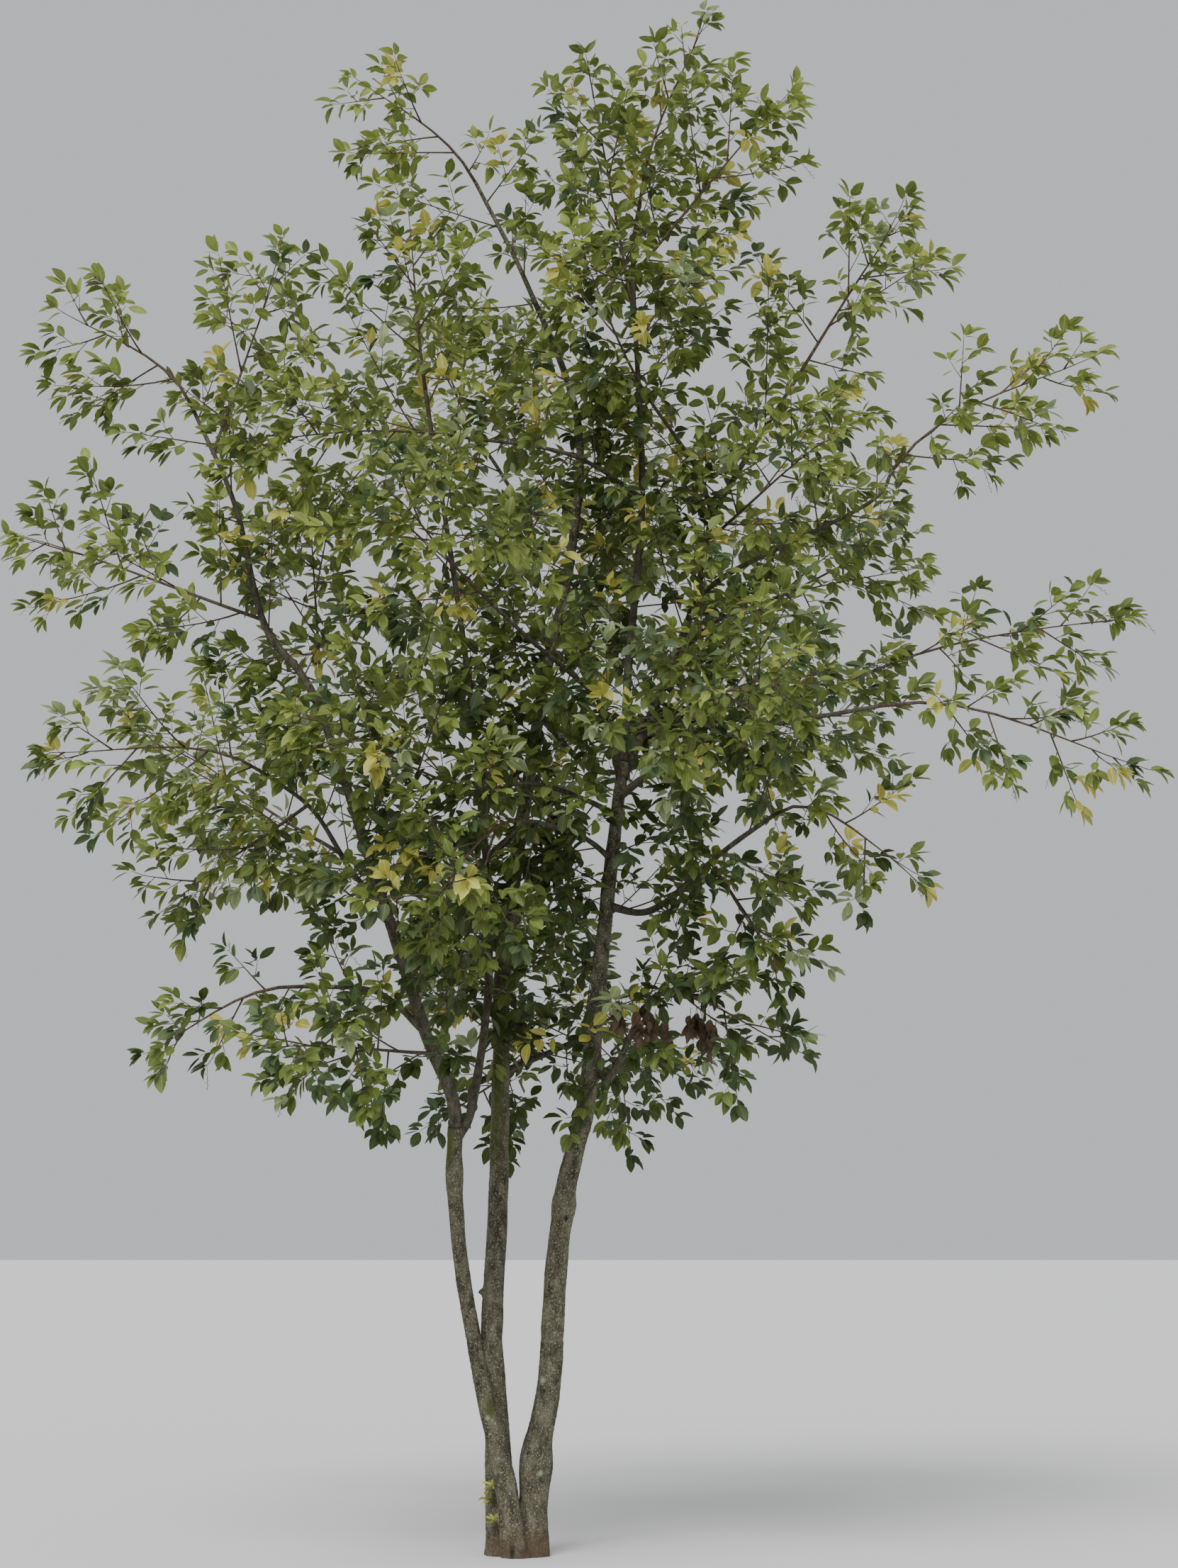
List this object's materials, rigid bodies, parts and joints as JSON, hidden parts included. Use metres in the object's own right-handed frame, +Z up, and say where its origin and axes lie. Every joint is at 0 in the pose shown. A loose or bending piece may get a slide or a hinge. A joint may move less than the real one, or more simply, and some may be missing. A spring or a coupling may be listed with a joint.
{
  "type": "bird cherry tree",
  "caption": "Slender broadleaf tree with several stems from one stool, rising boughs and an open, leafy crown, cut flat at ground level.",
  "frame": {"origin": "middle of the flat cut under the trunk, at ground level", "axes": "+Z up along the tree's height, +X to the right and +Y away as the picture sees it"},
  "size_m": [5.18, 4.1, 7],
  "materials": {
    "trunk_bark": "rough grey-brown bark, fluted, with moss and lichen",
    "stem_bark": "fine scaly grey bark with pale flecks",
    "bough_bark": "smoother grey-brown bark with small pores",
    "foliage": "dull green leaves, some turning yellow"
  },
  "bodies": {
    "root": {"back_left": "bough_bark", "back_low": "bough_bark", "back_right": "bough_bark", "back_top": "bough_bark", "centre_left": "bough_bark", "cross_left": "bough_bark", "far_right": "bough_bark", "foliage_back_left": "foliage", "foliage_back_low": "foliage", "foliage_back_middle": "foliage", "foliage_back_right": "foliage", "foliage_back_top": "foliage", "foliage_centre_left": "foliage", "foliage_cross_left": "foliage", "foliage_crown_top": "foliage", "foliage_far_right": "foliage", "foliage_front_left": "foliage", "foliage_front_low": "foliage", "foliage_front_right": "foliage", "foliage_left_arm": "foliage", "foliage_left_core": "foliage", "foliage_left_inner_low": "foliage", "foliage_left_low": "foliage", "foliage_left_mid": "foliage", "foliage_left_rise": "foliage", "foliage_left_spire": "foliage", "foliage_left_top": "foliage", "foliage_long_right": "foliage", "foliage_low_back": "foliage", "foliage_low_drop": "foliage", "foliage_low_front": "foliage", "foliage_low_middle": "foliage", "foliage_low_right": "foliage", "foliage_right_core": "foliage", "foliage_right_low": "foliage", "foliage_right_mid": "foliage", "foliage_right_upper": "foliage", "foliage_shoulder": "foliage", "foliage_top_left": "foliage", "foliage_top_middle": "foliage", "foliage_top_right": "foliage", "foliage_upper_middle": "foliage", "front_left": "bough_bark", "left_bough": "bough_bark", "left_inner": "bough_bark", "left_low": "bough_bark", "left_mid": "bough_bark", "left_stem": "stem_bark", "long_right": "bough_bark", "long_right_upper": "bough_bark", "low_front": "bough_bark", "low_right": "bough_bark", "middle_stem": "stem_bark", "right_bough": "bough_bark", "right_leader": "bough_bark", "right_low": "bough_bark", "right_mid": "bough_bark", "right_stem": "stem_bark", "trunk": "trunk_bark", "upper_middle": "bough_bark"}
  },
  "joints": []
}
